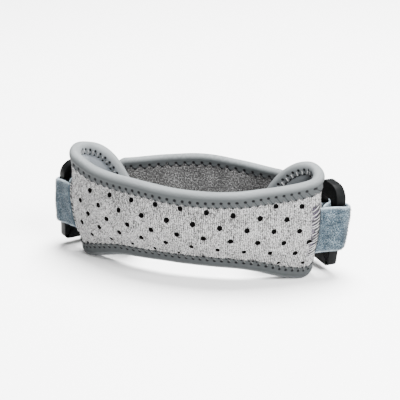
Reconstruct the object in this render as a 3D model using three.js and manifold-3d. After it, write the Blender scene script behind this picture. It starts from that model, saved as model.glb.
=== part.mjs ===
// Patellar knee brace: a padded, bound loop of two pads joined by straps through two rings.
// Millimetres. X runs across the knee, Y from the front pad to the back pad, Z up.
// It stands on the lower edge of its bindings.

import * as THREE from 'three';
import { mergeVertices } from 'three/addons/utils/BufferGeometryUtils.js';
import Module from 'manifold-3d';

const wasm = await Module();
wasm.setup();

const GAP = 0.3;
const DEG = Math.PI / 180;

// Front pad: plan of each half from the middle, as arcs walked one after another.
// A positive radius turns towards the leg. The edges are given from the left end to the right end.
const FRONT = {
  startX: 0,
  startY: -32.5,
  turn: 0,
  outward: -1,
  arcs: [
    { name: 'shin', length: 72.6, left: 130, right: 130, steps: 9 },
    { name: 'bend', length: 18, left: 7, right: 7, steps: 8 },
    { name: 'tongue', length: 30.5, left: 85, right: 400, steps: 7 },
  ],
  edges: [
    { s: -90.6, top: 67.8, bottom: 3.5 },
    { s: -81.6, top: 68.2, bottom: 1.2 },
    { s: -72.6, top: 64.7, bottom: -0.6 },
    { s: -59, top: 60.9, bottom: 2.7 },
    { s: -45, top: 59.5, bottom: 6.1 },
    { s: -30, top: 59, bottom: 7.2 },
    { s: 0, top: 56.7, bottom: 7.4 },
    { s: 30, top: 56.8, bottom: 6.6 },
    { s: 45, top: 58.5, bottom: 4.7 },
    { s: 59, top: 59.9, bottom: 1.4 },
    { s: 72.6, top: 61.9, bottom: -0.6 },
    { s: 81.6, top: 65.2, bottom: 1.2 },
    { s: 90.6, top: 67.9, bottom: 3.5 },
  ],
  tipDrop: 10,
  outerCrown: 5,
  innerCrown: 1.5,
  crownReach: 95,
  taper: { share: 0.062, fromZ: 62, centreY: 7.5 },
  tuck: { inward: 8, height: 19, reach: 95 },
};

// Back pad: one gentle arc, turned a little about its middle as it stands.
const BACK = {
  startX: -4.5,
  startY: 33.5,
  turn: 1.5 * DEG,
  outward: 1,
  arcs: [
    { name: 'band', length: 48, left: -146, right: -146, steps: 6 },
    { name: 'end', length: 12, left: -146, right: -146, steps: 5 },
  ],
  edges: [
    { s: -48, top: 50.8, bottom: -0.6 },
    { s: -22, top: 52.9, bottom: -0.6 },
    { s: 0, top: 54.5, bottom: -0.6 },
    { s: 22, top: 53, bottom: -0.6 },
    { s: 48, top: 51.4, bottom: -0.6 },
  ],
  tipDrop: 0,
  outerCrown: 2,
  innerCrown: 1.5,
  crownReach: 46,
  taper: { share: 0, fromZ: 62, centreY: 0 },
  tuck: { inward: 0, height: 19, reach: 72 },
};

// Layers at a pad's edge, as offsets from its middle surface towards the outside.
const EDGE_HALF = 1.85;
const FACING_THICK = 1.2;

// Edge tape: half widths and depths of its section, which rolls over the edge and lies flat below the roll.
const TAPE = {
  inner: EDGE_HALF + 2 * GAP,
  flange: 3.05,
  roll: 3.4,
  shoulder: 3.2,
  depth: 9.2,
  rollDepth: 5,
  crest: 1.9,
  shoulderDrop: 0.35,
};
const PAD_INSET = TAPE.crest + 3 * GAP;

// The padding starts to swell this far from the edge, and its sections keep a flat share in low places.
const CROWN_DEPTH = TAPE.depth + 2.5;
const FLAT_SHARE = 0.55;
const PAD_END_ANGLE = 80 * DEG;

// Holes punched through the facing, in staggered rows that lean a little and drift downhill towards the
// right end. The uppermost row clears the edge tape only on the right.
const HOLES = {
  radius: 1.2,
  sides: 6,
  punchReach: 2,
  pitch: 14.85,
  stagger: [6.4, -1.8],
  rowPitch: 7.12,
  firstRow: 10.2,
  rows: 7,
  topRowFrom: 30,
  middleRow: 3,
  lean: 0.069,
  drift: { slope: -0.063, bow: -0.00066, twist: 0.0000055 },
  reach: 92,
  underTape: 0.8,
  seamClear: 4.5,
  seamOverrun: 2,
};

// Straps: flat bands that go round the rings' bars.
const STRAP = { width: 28.4, thick: 1.6, centreZ: 29.2, layerStep: 2, loopSteps: 9 };
const FRONT_STRAP = { seamAt: 77.6, spread: 1.1, loopFrom: -78 * DEG, loopTo: 145 * DEG };
const REAR_STRAP = {
  sewnFrom: 36,
  leaveAt: 62,
  foldedTo: 30,
  runSteps: 3,
  loopRadius: 5.8,
  loopFrom: -175 * DEG,
  loopTo: 45 * DEG,
};

// Rings: arched at the top and square at the foot.
const RING = {
  height: 49,
  width: 22,
  thick: 6,
  bar: 5.5,
  topBar: 9.2,
  footBar: 7,
  topCorner: 8.5,
  footCorner: 2.8,
  windowCorner: 2,
  bevel: 0.9,
  cornerSteps: 4,
};

// Plan places of a ring's two bars, and how each ring hangs in its straps as the brace stands.
const RING_PLACE = { frontX: 81.2, frontY: 2, rearX: 69.9, rearY: 14.1 };
const SIDES = [
  { name: 'left', sign: -1, lean: -1 * DEG, ringOut: 1.4, ringZ: 28.6, loopRadius: 5.8, loopOut: 0 },
  { name: 'right', sign: 1, lean: 6 * DEG, ringOut: 0, ringZ: 29.8, loopRadius: 6.4, loopOut: 0.7 },
];

const FINISH = {
  facing: { color: 0xc3c0bd, roughness: 0.95 },
  lining: { color: 0x8f8d8c, roughness: 0.9 },
  binding: { color: 0xa3a9ab, roughness: 0.7 },
  strap: { color: 0x8fa3b1, roughness: 0.95 },
  ring: { color: 0x17191a, roughness: 0.45 },
};

const mix = (from, to, share) => from + (to - from) * share;

// Reads a column of an edge table at s along smooth cubic stretches, level at both ends.
function readTable(rows, column, s) {
  const last = rows.length - 2;
  let i = 0;
  while (i < last && s > rows[i + 1].s) i += 1;
  const slopeAt = (k) => {
    const before = rows[k - 1];
    const after = rows[k + 1];
    return before && after ? (after[column] - before[column]) / (after.s - before.s) : 0;
  };
  const span = rows[i + 1].s - rows[i].s;
  const t = (s - rows[i].s) / span;
  const rise = t * t * (3 - 2 * t);
  const lead = t * (1 - t) * (1 - t) * span * slopeAt(i);
  const trail = t * t * (t - 1) * span * slopeAt(i + 1);
  return mix(rows[i][column], rows[i + 1][column], rise) + lead + trail;
}

const tipStart = (pad) => pad.edges[pad.edges.length - 1].s;
const tipLength = (pad) => pad.arcs[pad.arcs.length - 1].length;

// Middle height and half height of a pad at s, inset from its outline. Its ends are half ellipses.
function heightsAt(pad, s, inset) {
  const along = THREE.MathUtils.clamp(s, -tipStart(pad), tipStart(pad));
  const top = readTable(pad.edges, 'top', along);
  const bottom = readTable(pad.edges, 'bottom', along);
  const share = Math.max(0, Math.abs(s) - tipStart(pad)) / tipLength(pad);
  const ellipse = Math.max(0, Math.abs(s) - tipStart(pad)) / (tipLength(pad) - inset);
  const half = ((top - bottom) / 2 - inset) * Math.sqrt(Math.max(0, 1 - ellipse * ellipse));
  return { middle: (top + bottom) / 2 - pad.tipDrop * share * share, half };
}

// Plan place and outward direction of a pad's middle line at s.
function planAt(pad, s) {
  let x = 0;
  let y = 0;
  let heading = 0;
  let left = Math.abs(s);
  pad.arcs.forEach((arc, i) => {
    const isLast = i === pad.arcs.length - 1;
    const run = isLast ? left : Math.min(left, arc.length);
    const radius = s < 0 ? arc.left : arc.right;
    const end = heading + run / radius;
    x += radius * (Math.sin(end) - Math.sin(heading));
    y += radius * (Math.cos(heading) - Math.cos(end));
    heading = end;
    left -= run;
  });
  const side = s < 0 ? -1 : 1;
  const place = new THREE.Vector2(side * x, y);
  const out = new THREE.Vector2(-side * pad.outward * Math.sin(heading), pad.outward * Math.cos(heading));
  place.rotateAround(new THREE.Vector2(), pad.turn);
  out.rotateAround(new THREE.Vector2(), pad.turn);
  place.add(new THREE.Vector2(pad.startX, pad.startY));
  return { place, out };
}

// How far the pad curls in towards the leg near its lower edge.
function tuckAt(pad, s, z) {
  const { middle, half } = heightsAt(pad, s, 0);
  const low = Math.max(0, 1 - (z - middle + half) / pad.tuck.height);
  const along = Math.min(1, Math.abs(s) / pad.tuck.reach);
  return pad.tuck.inward * low * low * (1 - along * along);
}

// Bends a point of the flat pattern, s along, z up and offset through, to its place on the brace.
// The front pad draws in towards its lower edge, as a leg does.
function bend(pad, s, z, offset) {
  const { place, out } = planAt(pad, s);
  place.addScaledVector(out, offset - tuckAt(pad, s, z));
  const { share, fromZ, centreY } = pad.taper;
  const low = Math.max(0, fromZ - z) / fromZ;
  const scale = 1 - share * low * low;
  return new THREE.Vector3(place.x * scale, mix(centreY, place.y, scale), Math.max(0, z));
}

// How far the padding stands out at a place, as a share of its crown: nothing under the binding.
function crownAt(pad, s, z) {
  const { middle, half } = heightsAt(pad, s, 0);
  const reach = half - CROWN_DEPTH;
  const across = Math.abs(z - middle) / Math.max(reach, 1e-6);
  const along = Math.abs(s) / pad.crownReach;
  if (reach <= 0 || across >= 1 || along >= 1) return 0;
  return (1 - across * across) * (1 - along * along);
}

const outerFace = (pad, s, z) => EDGE_HALF + pad.outerCrown * crownAt(pad, s, z);
const innerFace = (pad, s, z) => -EDGE_HALF - pad.innerCrown * crownAt(pad, s, z);

// Distances along one half of a pad at which it has a section: even on each arc, closer at the round end.
function halfStations(pad, inset, tipAngle) {
  const list = [];
  let from = 0;
  pad.arcs.forEach((arc, i) => {
    const isLast = i === pad.arcs.length - 1;
    for (let k = 1; k <= arc.steps; k += 1) {
      const share = k / arc.steps;
      if (isLast) list.push(from + (arc.length - inset) * Math.sin(share * tipAngle));
      else list.push(from + arc.length * share);
    }
    from += arc.length;
  });
  return list;
}

function stations(pad, inset, tipAngle) {
  const half = halfStations(pad, inset, tipAngle);
  return [...half.map((s) => -s).reverse(), 0, ...half];
}

function meshGeometry(points, faces) {
  const geometry = new THREE.BufferGeometry().setFromPoints(points);
  geometry.setIndex(faces.flat());
  return geometry;
}

// Joins rings of equal length into a closed skin, in a circle or with a cap of paired points at each end.
function skin(rings, isLoop) {
  const size = rings[0].length;
  const faces = [];
  const at = (ring, k) => (ring % rings.length) * size + (k % size);
  const last = isLoop ? rings.length : rings.length - 1;
  for (let ring = 0; ring < last; ring += 1) {
    for (let k = 0; k < size; k += 1) {
      faces.push([at(ring, k), at(ring + 1, k), at(ring + 1, k + 1)]);
      faces.push([at(ring, k), at(ring + 1, k + 1), at(ring, k + 1)]);
    }
  }
  if (!isLoop) {
    for (let k = 0; k < size / 2 - 1; k += 1) {
      const pair = size - 1 - k;
      faces.push([at(0, k), at(0, k + 1), at(0, pair - 1)]);
      faces.push([at(0, k), at(0, pair - 1), at(0, pair)]);
      faces.push([at(last, k), at(last, pair - 1), at(last, k + 1)]);
      faces.push([at(last, k), at(last, pair), at(last, pair - 1)]);
    }
  }
  return meshGeometry(rings.flat(), faces);
}

// Heights of a section's rows, from its lower edge to its upper edge, with rows where the crown starts.
function rowHeights(pad, s) {
  const { middle, half } = heightsAt(pad, s, PAD_INSET);
  const flat = Math.max(half - (CROWN_DEPTH - PAD_INSET), half * FLAT_SHARE);
  return [-half, -flat, -flat / 2, 0, flat / 2, flat, half].map((rise) => middle + rise);
}

// A layer of a pad between two faces given as offsets from its middle surface.
function layerGeometry(pad, innerOffset, outerOffset) {
  const rings = stations(pad, PAD_INSET, PAD_END_ANGLE).map((s) => {
    const rows = rowHeights(pad, s);
    const outer = rows.map((z) => bend(pad, s, z, outerOffset(s, z)));
    const inner = rows.map((z) => bend(pad, s, z, innerOffset(s, z)));
    const ring = [...outer, ...inner.reverse()];
    return pad.outward < 0 ? ring : ring.reverse();
  });
  return skin(rings, false);
}

// The edge tape: its section carried right round a pad's outline in the flat pattern, then bent.
function bindingGeometry(pad) {
  const section = [
    [TAPE.inner, TAPE.depth],
    [TAPE.flange, TAPE.depth],
    [TAPE.roll, TAPE.rollDepth],
    [TAPE.shoulder, TAPE.crest],
    [TAPE.roll / 2, TAPE.shoulderDrop],
    [0, 0],
    [-TAPE.roll / 2, TAPE.shoulderDrop],
    [-TAPE.shoulder, TAPE.crest],
    [-TAPE.roll, TAPE.rollDepth],
    [-TAPE.flange, TAPE.depth],
    [-TAPE.inner, TAPE.depth],
    [-TAPE.inner, TAPE.crest],
    [TAPE.inner, TAPE.crest],
  ];
  const along = stations(pad, 0, 90 * DEG);
  const edge = (s, side) => {
    const { middle, half } = heightsAt(pad, s, 0);
    return new THREE.Vector2(s, middle + side * half);
  };
  const upper = along.map((s) => edge(s, 1));
  const lower = along.slice(1, -1).reverse().map((s) => edge(s, -1));
  const outline = [...upper, ...lower];
  const rings = outline.map((point, i) => {
    const before = outline[(i + outline.length - 1) % outline.length];
    const after = outline[(i + 1) % outline.length];
    const run = after.clone().sub(before).normalize();
    const ring = section.map(([offset, depth]) => bend(
      pad,
      point.x + run.y * depth,
      point.y - run.x * depth,
      offset,
    ));
    return pad.outward < 0 ? ring : ring.reverse();
  });
  return skin(rings, true);
}

function toManifold(geometry) {
  const bare = new THREE.BufferGeometry();
  bare.setAttribute('position', geometry.getAttribute('position').clone());
  if (geometry.index) bare.setIndex(geometry.index.clone());
  const merged = mergeVertices(bare, 1e-4);
  const vertProperties = new Float32Array(merged.getAttribute('position').array);
  const triVerts = new Uint32Array(merged.index.array);
  return new wasm.Manifold(new wasm.Mesh({ numProp: 3, vertProperties, triVerts }));
}

function fromManifold(solid) {
  const mesh = solid.getMesh();
  const geometry = new THREE.BufferGeometry();
  geometry.setAttribute('position', new THREE.BufferAttribute(Float32Array.from(mesh.vertProperties), 3));
  geometry.setIndex(Array.from(mesh.triVerts));
  return geometry;
}

// How far a row of holes has drifted up at a distance along the pad.
function rowDrift(s) {
  const { slope, bow, twist } = HOLES.drift;
  return s * (slope + s * (bow + s * twist));
}

// Places of the punched holes on the flat pattern. A hole may run a little under the edge tape,
// and none lies at the strap's seam.
function holePlaces(pad) {
  const places = [];
  const count = Math.ceil(HOLES.reach / HOLES.pitch);
  for (let row = 0; row < HOLES.rows; row += 1) {
    for (let column = -count; column <= count; column += 1) {
      const inRow = HOLES.stagger[row % 2] + column * HOLES.pitch;
      const s = inRow + HOLES.lean * (row - HOLES.middleRow) * HOLES.rowPitch;
      const z = HOLES.firstRow + row * HOLES.rowPitch + rowDrift(inRow);
      const { middle, half } = heightsAt(pad, s + Math.sign(s) * HOLES.radius, 0);
      const room = half - Math.abs(z - middle) - TAPE.depth + HOLES.underTape;
      const nearSeam = Math.abs(Math.abs(s) - FRONT_STRAP.seamAt) < HOLES.seamClear;
      const besideStrap = Math.abs(z - STRAP.centreZ) < STRAP.width / 2 + HOLES.seamOverrun;
      const inSight = row < HOLES.rows - 1 || s > HOLES.topRowFrom;
      const onCloth = Math.abs(s) < HOLES.reach && room > 0 && inSight;
      if (onCloth && !(nearSeam && besideStrap)) places.push({ s, z });
    }
  }
  return places;
}

// One punch: a short prism standing through the facing along its own direction.
function punchGeometry(pad, { s, z }) {
  const face = outerFace(pad, s, z);
  const rings = [face + HOLES.punchReach, face - FACING_THICK - GAP / 2].map((offset) => {
    const ring = [];
    for (let k = 0; k < HOLES.sides; k += 1) {
      const angle = (k / HOLES.sides) * 2 * Math.PI;
      const along = s + HOLES.radius * Math.cos(angle);
      ring.push(bend(pad, along, z + HOLES.radius * Math.sin(angle), offset));
    }
    return ring;
  });
  return skin(rings, false);
}

function facingGeometry() {
  const outer = (s, z) => outerFace(FRONT, s, z);
  const inner = (s, z) => outerFace(FRONT, s, z) - FACING_THICK;
  let cloth = toManifold(layerGeometry(FRONT, inner, outer));
  holePlaces(FRONT).forEach((place) => {
    cloth = cloth.subtract(toManifold(punchGeometry(FRONT, place)));
  });
  return fromManifold(cloth);
}

function frontCoreGeometry() {
  const outer = (s, z) => outerFace(FRONT, s, z) - FACING_THICK - 2 * GAP;
  const inner = (s, z) => innerFace(FRONT, s, z);
  return layerGeometry(FRONT, inner, outer);
}

function backPadGeometry() {
  const outer = (s, z) => outerFace(BACK, s, z);
  const inner = (s, z) => innerFace(BACK, s, z);
  return layerGeometry(BACK, inner, outer);
}

// A flat strap of even thickness along a plan path that may differ from its lower to its upper edge.
function ribbonGeometry(pathAt) {
  const heights = [-1, 0, 1].map((side) => STRAP.centreZ + side * STRAP.width / 2);
  const levels = heights.map((z) => {
    const path = pathAt(z);
    return path.map((point, i) => {
      const before = path[Math.max(i - 1, 0)];
      const after = path[Math.min(i + 1, path.length - 1)];
      const run = after.clone().sub(before).normalize();
      const across = new THREE.Vector2(run.y, -run.x).multiplyScalar(STRAP.thick / 2);
      return [
        new THREE.Vector3(point.x + across.x, point.y + across.y, z),
        new THREE.Vector3(point.x - across.x, point.y - across.y, z),
      ];
    });
  });
  const rings = levels[0].map((_, i) => {
    const near = levels.map((level) => level[i][0]);
    const far = levels.map((level) => level[i][1]);
    return [...near, ...far.reverse()];
  });
  return skin(rings, false);
}

// Centre of a ring's bar at a height: the ring leans outwards towards its top.
function barAt(side, x, y, z) {
  const lean = Math.tan(side.lean) * (z - side.ringZ);
  return new THREE.Vector2(side.sign * (x + side.ringOut + lean), y);
}

// Points of a loop round a bar, from one plan angle to another.
function roundBar(bar, sign, radius, fromAngle, toAngle) {
  const points = [];
  for (let k = 0; k <= STRAP.loopSteps; k += 1) {
    const angle = mix(fromAngle, toAngle, k / STRAP.loopSteps);
    const reach = new THREE.Vector2(sign * Math.cos(angle), Math.sin(angle));
    points.push(bar.clone().addScaledVector(reach, radius));
  }
  return points;
}

function ringStrapGeometry(side) {
  const standOff = EDGE_HALF + 1.5 * GAP + STRAP.thick / 2;
  const foot = (z, shift) => {
    const s = side.sign * (FRONT_STRAP.seamAt + shift);
    const offset = standOff + FRONT.outerCrown * crownAt(FRONT, s, z);
    const point = bend(FRONT, s, z, offset);
    return new THREE.Vector2(point.x, point.y);
  };
  const pathAt = (z) => {
    const centre = barAt(side, RING_PLACE.frontX + side.loopOut, RING_PLACE.frontY, z);
    const loop = roundBar(centre, side.sign, side.loopRadius, FRONT_STRAP.loopFrom, FRONT_STRAP.loopTo);
    return [foot(z, -FRONT_STRAP.spread), ...loop, foot(z, FRONT_STRAP.spread)];
  };
  return ribbonGeometry(pathAt);
}

function rearStrapGeometry(side) {
  const firstLayer = TAPE.roll + GAP + STRAP.thick / 2;
  const onPad = (s, layer) => {
    const point = bend(BACK, side.sign * s, STRAP.centreZ, firstLayer + layer * STRAP.layerStep);
    return new THREE.Vector2(point.x, point.y);
  };
  const flatRun = (from, to, layer) => {
    const points = [];
    for (let k = 0; k <= REAR_STRAP.runSteps; k += 1) {
      points.push(onPad(mix(from, to, k / REAR_STRAP.runSteps), layer));
    }
    return points;
  };
  const pathAt = (z) => {
    const bar = barAt(side, RING_PLACE.rearX, RING_PLACE.rearY, z);
    return [
      ...flatRun(REAR_STRAP.sewnFrom, REAR_STRAP.leaveAt, 0),
      ...roundBar(bar, side.sign, REAR_STRAP.loopRadius, REAR_STRAP.loopFrom, REAR_STRAP.loopTo),
      ...flatRun(REAR_STRAP.leaveAt, REAR_STRAP.foldedTo, 1),
    ];
  };
  return ribbonGeometry(pathAt);
}

// Adds a rectangle with rounded corners to a path, round a middle that may lie above or below zero.
function roundedOutline(path, width, height, footCorner, topCorner, middle = 0) {
  const corner = (side, end, radius, fromAngle) => {
    const x = side * (width / 2 - radius);
    const y = middle + end * (height / 2 - radius);
    path.absarc(x, y, radius, fromAngle, fromAngle + 90 * DEG, false);
  };
  corner(1, -1, footCorner, -90 * DEG);
  corner(1, 1, topCorner, 0);
  corner(-1, 1, topCorner, 90 * DEG);
  corner(-1, -1, footCorner, 180 * DEG);
  path.closePath();
  return path;
}

function ringGeometry() {
  const grow = RING.bevel;
  const outline = roundedOutline(
    new THREE.Shape(),
    RING.width - 2 * grow,
    RING.height - 2 * grow,
    RING.footCorner - grow,
    RING.topCorner - grow,
  );
  const windowWidth = RING.width - 2 * RING.bar + 2 * grow;
  const windowHeight = RING.height - RING.topBar - RING.footBar + 2 * grow;
  const middle = (RING.footBar - RING.topBar) / 2;
  const corner = RING.windowCorner + grow;
  const windowPath = new THREE.Path();
  outline.holes.push(roundedOutline(windowPath, windowWidth, windowHeight, corner, corner, middle));
  const geometry = new THREE.ExtrudeGeometry(outline, {
    depth: RING.thick - 2 * grow,
    steps: 1,
    curveSegments: RING.cornerSteps,
    bevelEnabled: true,
    bevelThickness: grow,
    bevelSize: grow,
    bevelSegments: 1,
  });
  geometry.translate(0, 0, grow - RING.thick / 2);
  geometry.rotateX(90 * DEG);
  return geometry;
}

const brace = new THREE.Group();

function add(name, geometry, finish) {
  const mesh = new THREE.Mesh(geometry, new THREE.MeshStandardMaterial({ metalness: 0, ...finish }));
  mesh.name = name;
  brace.add(mesh);
  return mesh;
}

function addRing(side) {
  const ring = add(`${side.name}_ring`, ringGeometry(), FINISH.ring);
  const inward = RING_PLACE.frontX - RING_PLACE.rearX;
  const back = RING_PLACE.rearY - RING_PLACE.frontY;
  const turn = Math.atan2(back, inward);
  ring.rotation.set(0, side.sign * side.lean, -side.sign * turn, 'YXZ');
  ring.position.set(
    side.sign * ((RING_PLACE.frontX + RING_PLACE.rearX) / 2 + side.ringOut),
    (RING_PLACE.frontY + RING_PLACE.rearY) / 2,
    side.ringZ,
  );
}

add('front_core', frontCoreGeometry(), FINISH.lining);
add('front_facing', facingGeometry(), FINISH.facing);
add('front_binding', bindingGeometry(FRONT), FINISH.binding);
add('back_pad', backPadGeometry(), FINISH.lining);
add('back_binding', bindingGeometry(BACK), FINISH.binding);
SIDES.forEach((side) => {
  addRing(side);
  add(`${side.name}_ring_strap`, ringStrapGeometry(side), FINISH.strap);
  add(`${side.name}_rear_strap`, rearStrapGeometry(side), FINISH.strap);
});

export default brace;
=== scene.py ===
"""Looks of a patellar knee brace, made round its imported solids.

The pads are laid out flat in millimetres, s along a pad, z up and offset through it, and are then bent
to their place. Every mesh is in metres.
"""

import math
from collections import namedtuple
from dataclasses import dataclass

import bmesh
import bpy
import numpy as np
from mathutils import Matrix, Vector


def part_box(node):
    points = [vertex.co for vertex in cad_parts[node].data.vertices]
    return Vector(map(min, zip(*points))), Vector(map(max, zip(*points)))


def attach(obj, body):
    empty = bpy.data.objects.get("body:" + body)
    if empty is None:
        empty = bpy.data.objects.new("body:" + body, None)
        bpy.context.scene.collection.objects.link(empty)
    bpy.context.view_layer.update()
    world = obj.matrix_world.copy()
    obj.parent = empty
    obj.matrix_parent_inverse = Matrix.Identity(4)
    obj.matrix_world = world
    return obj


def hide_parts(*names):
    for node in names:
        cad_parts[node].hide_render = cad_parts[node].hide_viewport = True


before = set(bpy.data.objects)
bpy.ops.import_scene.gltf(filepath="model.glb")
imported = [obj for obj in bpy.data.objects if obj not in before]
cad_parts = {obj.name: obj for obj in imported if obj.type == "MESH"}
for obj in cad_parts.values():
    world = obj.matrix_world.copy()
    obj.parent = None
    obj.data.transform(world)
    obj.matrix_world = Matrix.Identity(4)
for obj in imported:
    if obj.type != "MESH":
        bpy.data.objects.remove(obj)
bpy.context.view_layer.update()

MM = 0.001
DEG = math.pi / 180
TURN = 2 * math.pi
TINY = 1e-6
CHANCE = np.random.default_rng(11)

# A stretch of a pad's plan: its length, and the radius of its bend on either side
Arc = namedtuple("Arc", "length left right")
# Heights of a pad's upper and lower edges at a distance along it
Edge = namedtuple("Edge", "s top bottom")
# One flange of a tape, as depths from the pad's edge: needle rows, raw edge, thread and crease
Hem = namedtuple("Hem", "upper lower lag notch depth leg thread low_dot crease")
# An edge tape: its roll, the height of its flange, the stitch length, both hems, whether its tongues'
# inner flanges get painted light, and where painted shade starts and is full down its roll
Trim = namedtuple("Trim", "roll flange pitch outer inner pale_inside shade_from shade_to")
# One side of the brace: how its ring sits, how its strap goes round it, how far its seam reaches
Side = namedtuple("Side", "name sign lean ring_out ring_z loop_radius loop_out seam_reach")
# Slow unevenness of a face: its height, the sizes of its waves and the seed that places them
Waves = namedtuple("Waves", "high sizes seed")


def unit(vectors):
    """Vectors brought to length one."""
    return vectors / np.maximum(np.linalg.norm(vectors, axis=-1, keepdims=True), TINY)


def length_along(points):
    """Length of a path up to each of its points."""
    return np.concatenate([[0], np.cumsum(np.linalg.norm(np.diff(points, axis=0), axis=1))])


# Flat patterns of the two pads


@dataclass
class Pad:
    """A padded panel: plan of its halves, upper and lower edges, and how it swells and draws in."""

    start: tuple
    outward: int
    arcs: list
    edges: list
    outer_crown: float
    inner_crown: float
    crown_reach: float
    turn: float = 0.0
    tip_drop: float = 0.0
    taper_share: float = 0.0
    taper_from: float = 62.0
    taper_centre_y: float = 0.0
    tuck_inward: float = 0.0
    tuck_height: float = 19.0
    tuck_reach: float = 95.0

    @property
    def tip_start(self):
        return self.edges[-1].s

    @property
    def tip_length(self):
        return self.arcs[-1].length

    def edge(self, column, s):
        """Height of the upper or lower edge at s, along smooth cubic stretches that end level."""
        at = np.array([row.s for row in self.edges])
        value = np.array([getattr(row, column) for row in self.edges])
        slope = np.zeros(len(at))
        slope[1:-1] = (value[2:] - value[:-2]) / (at[2:] - at[:-2])
        i = np.clip(np.searchsorted(at, s) - 1, 0, len(at) - 2)
        span = at[i + 1] - at[i]
        t = (s - at[i]) / span
        rise = t * t * (3 - 2 * t)
        ease = t * (1 - t) ** 2 * slope[i] + t * t * (t - 1) * slope[i + 1]
        return value[i] + (value[i + 1] - value[i]) * rise + span * ease

    def heights(self, s, inset=0.0):
        """Middle height and half height at s, inset from the outline. The ends are half ellipses."""
        along = np.clip(s, -self.tip_start, self.tip_start)
        top, bottom = self.edge("top", along), self.edge("bottom", along)
        past = np.maximum(0, np.abs(s) - self.tip_start)
        rounding = np.sqrt(np.maximum(0, 1 - (past / (self.tip_length - inset)) ** 2))
        middle = (top + bottom) / 2 - self.tip_drop * (past / self.tip_length) ** 2
        return middle, ((top - bottom) / 2 - inset) * rounding

    def plan(self, s):
        """Plan place of the middle line at s, and its outward direction there."""
        x, y, heading = np.zeros_like(s), np.zeros_like(s), np.zeros_like(s)
        left = np.abs(s)
        for arc in self.arcs:
            run = left if arc is self.arcs[-1] else np.minimum(left, arc.length)
            radius = np.where(s < 0, arc.left, arc.right)
            end = heading + run / radius
            x = x + radius * (np.sin(end) - np.sin(heading))
            y = y + radius * (np.cos(heading) - np.cos(end))
            heading = end
            left = left - run
        side = np.where(s < 0, -1, 1)
        c, n = math.cos(self.turn), math.sin(self.turn)
        turned = np.array([[c, n], [-n, c]])
        place = np.stack([side * x, y], -1) @ turned + np.array(self.start)
        out = np.stack([-side * np.sin(heading), np.cos(heading)], -1) @ turned
        return place, out * self.outward

    def tuck(self, s, z):
        """How far the pad curls in towards the leg near its lower edge."""
        middle, half = self.heights(s)
        low = np.maximum(0, 1 - (z - middle + half) / self.tuck_height)
        along = np.minimum(1, np.abs(s) / self.tuck_reach)
        return self.tuck_inward * low**2 * (1 - along**2)

    def bend(self, s, z, offset):
        """Takes points of the flat pattern to their place on the brace."""
        s, z, offset = np.broadcast_arrays(np.asarray(s, float), z, offset)
        place, out = self.plan(s)
        place = place + out * (offset - self.tuck(s, z))[..., None]
        low = np.maximum(0, self.taper_from - z) / self.taper_from
        scale = 1 - self.taper_share * low**2
        y = self.taper_centre_y + (place[..., 1] - self.taper_centre_y) * scale
        return np.stack([place[..., 0] * scale, y, np.maximum(0, z)], -1)

    def crown(self, s, z):
        """Share of the full crown that the padding has at a place: none under the edge tape."""
        middle, half = self.heights(s)
        reach = half - CROWN_DEPTH
        across = np.abs(z - middle) / np.maximum(reach, TINY)
        along = np.abs(s) / self.crown_reach
        inside = (reach > 0) & (across < 1) & (along < 1)
        return np.where(inside, (1 - across**2) * (1 - along**2), 0)

    def depth(self, s, z):
        """Distance of a place from the nearer of the upper and lower edges."""
        middle, half = self.heights(s)
        return half - np.abs(z - middle)

    def outer(self, s, z):
        return EDGE_HALF + self.outer_crown * self.crown(s, z)

    def inner(self, s, z):
        return -EDGE_HALF - self.inner_crown * self.crown(s, z)

    def grid(self, step, rows):
        """Places all over the panel inside the tape, in columns that close up at its round ends."""
        straight = np.linspace(0, self.tip_start, round(self.tip_start / step) + 1)
        angles = np.linspace(0, TIP_ANGLE, round(self.tip_length / step) + 1)[1:]
        tip = self.tip_start + (self.tip_length - PAD_INSET) * np.sin(angles)
        half_length = np.concatenate([straight, tip])
        stations = np.concatenate([-half_length[:0:-1], half_length])
        middle, half = self.heights(stations, PAD_INSET)
        s = np.repeat(stations[:, None], rows, 1)
        return s, middle[:, None] + half[:, None] * np.linspace(-1, 1, rows)

    def rim(self):
        """Close points right round the edge, ending where they start, and the length so far."""
        angle = np.linspace(-90 * DEG, 90 * DEG, 2 * RIM_TIP_POINTS)[RIM_TIP_POINTS:]
        straight = np.linspace(-self.tip_start, self.tip_start, RIM_STRAIGHT_POINTS)
        tip = self.tip_start + self.tip_length * np.sin(angle)
        along = np.concatenate([-tip[::-1], straight, tip])
        middle, half = self.heights(along)
        upper = np.stack([along, middle + half], -1)
        lower = np.stack([along, middle - half], -1)[::-1]
        ring = np.concatenate([upper, lower])
        ring = ring[np.linalg.norm(np.roll(ring, -1, 0) - ring, axis=1) > TINY]
        closed = np.concatenate([ring, ring[:1]])
        return closed, length_along(closed)

    def perimeter(self):
        return self.rim()[1][-1]

    def outline(self, count):
        """Points spaced evenly round the edge, the direction into the pad and the length so far."""
        closed, length = self.rim()
        at = np.linspace(0, length[-1], count, endpoint=False)
        points = np.stack([np.interp(at, length, closed[:, k]) for k in (0, 1)], -1)
        run = unit(np.roll(points, -1, 0) - np.roll(points, 1, 0))
        return points, np.stack([run[:, 1], -run[:, 0]], -1), at


EDGE_HALF = 1.85
FACING_THICK = 1.15
TAPE_DEPTH = 9.2
PAD_INSET = 2.8
CROWN_DEPTH = TAPE_DEPTH + 2.5
TIP_ANGLE = 80 * DEG
RIM_TIP_POINTS, RIM_STRAIGHT_POINTS = 200, 1200

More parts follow.
